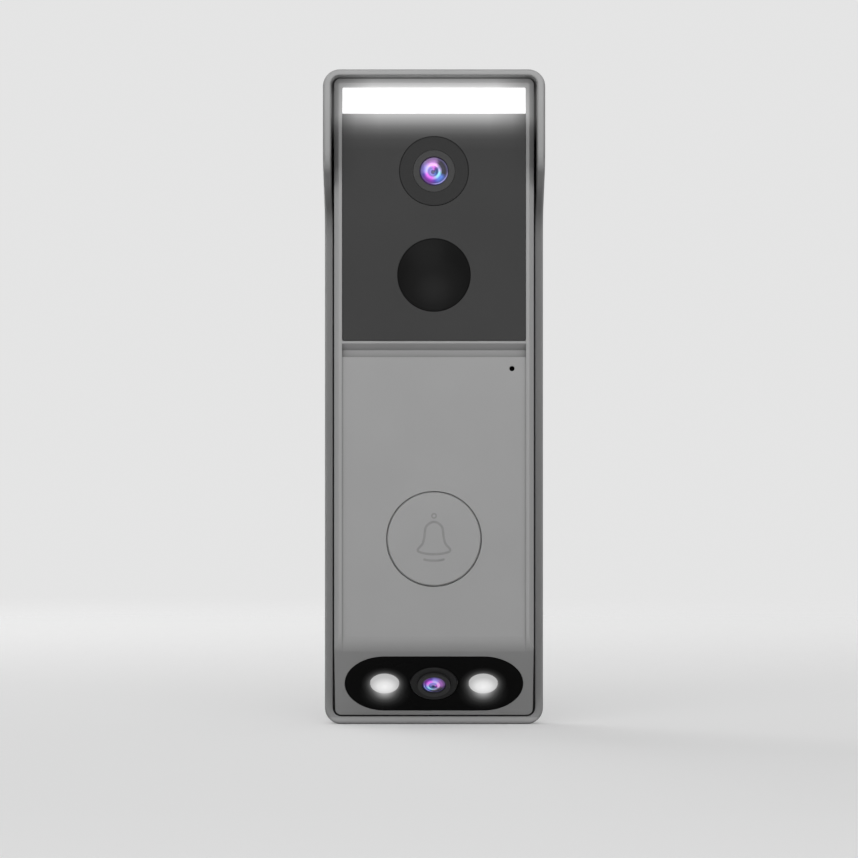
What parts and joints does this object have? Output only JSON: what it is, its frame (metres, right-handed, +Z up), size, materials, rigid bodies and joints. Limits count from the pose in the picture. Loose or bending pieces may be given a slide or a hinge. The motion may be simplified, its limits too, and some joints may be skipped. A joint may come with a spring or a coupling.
{
  "type": "video doorbell",
  "caption": "Wall-mounted video doorbell in a rain hood, with a light bar, main camera, motion sensor, press button and a slanted chin with a second camera between lamps.",
  "frame": {"origin": "on the wall plane at the hood's back face, midway between the two wall screw holes", "axes": "+X right as the caller sees it, +Y into the wall, +Z up; the face looks along -Y"},
  "size_m": [0.0552, 0.038, 0.164],
  "materials": {
    "hood_grey": "fine satin grain",
    "shell_grey": "fine satin grain",
    "button_grey": "fine satin grain",
    "cover_grey": "matte",
    "screw_steel": "zinc plated",
    "gasket_rubber": "matte",
    "membrane_silicone": "soft",
    "diffuser_white": "milky",
    "reflector_white": "matte",
    "board_white": "solder mask",
    "board_green": "solder mask",
    "led_white": "phosphor",
    "window_smoke": "smoked, back printed",
    "tape_black": "adhesive foam",
    "bezel_black": "matte black",
    "barrel_black": "ribbed black",
    "lens_glass": "coated glass",
    "holder_black": "matte",
    "sensor_chip": "silicon under glass",
    "pir_black": "gloss",
    "can_steel": "tinned",
    "switch_black": "matte",
    "plunger_white": "matte",
    "diaphragm_film": "film",
    "chin_black": "gloss black",
    "lamp_clear": "lit lens",
    "chip_black": "moulded",
    "battery_wrap": "foil wrap",
    "antenna_film": "polyimide film",
    "terminal_brass": "turned",
    "connector_ivory": "moulded",
    "ribbon_film": "flat cable",
    "screw_black": "black oxide",
    "mesh_black": "dust mesh"
  },
  "bodies": {
    "housing": {"rain_hood": "hood_grey", "rear_cover": "cover_grey", "security_screw": "screw_black", "housing_gasket": "gasket_rubber", "housing_screws": "screw_steel", "front_shell": "shell_grey", "light_diffuser": "diffuser_white", "light_reflector": "reflector_white", "light_board": "board_white", "light_leds": "led_white", "front_window": "window_smoke", "window_tape": "tape_black", "camera_bezel": "bezel_black", "camera_barrel": "barrel_black", "camera_glass": "lens_glass", "camera_holder": "holder_black", "camera_sensor": "sensor_chip", "pir_lens": "pir_black", "pir_socket": "holder_black", "pir_sensor": "can_steel", "button_membrane": "membrane_silicone", "button_bracket": "holder_black", "bracket_screws": "screw_steel", "switch_body": "switch_black", "mic_boot": "gasket_rubber", "microphone": "mesh_black", "speaker_gasket": "gasket_rubber", "speaker_frame": "holder_black", "speaker_diaphragm": "diaphragm_film", "chin_window": "chin_black", "chin_bezel": "bezel_black", "chin_barrel": "barrel_black", "chin_glass": "lens_glass", "chin_holder": "holder_black", "chin_sensor": "sensor_chip", "lamp_lenses": "lamp_clear", "chin_leds": "led_white", "chin_board": "board_green", "chin_screws": "screw_steel", "main_board": "board_green", "radio_module": "can_steel", "processor": "chip_black", "battery_pack": "battery_wrap", "antenna": "antenna_film", "terminal_posts": "terminal_brass", "terminal_screws": "screw_steel", "light_connector": "connector_ivory", "ribbon_connectors": "connector_ivory", "chin_ribbon": "ribbon_film"},
    "button": {"button_cap": "button_grey"},
    "plunger": {"switch_plunger": "plunger_white"}
  },
  "joints": [
    {"name": "button_press", "type": "slide", "parent": "housing", "child": "button", "axis": [0, 1, 0], "range_m": [0, 0.0008], "stiffness_N_per_m": 1200, "springref_m": -0.0005, "deforming": ["button_membrane"]},
    {"name": "plunger_press", "type": "slide", "parent": "housing", "child": "plunger", "axis": [0, 1, 0], "range_m": [0, 0.0008]}
  ],
  "couplings": [
    {"joint": "plunger_press", "follows": "button_press", "ratio": 1}
  ]
}
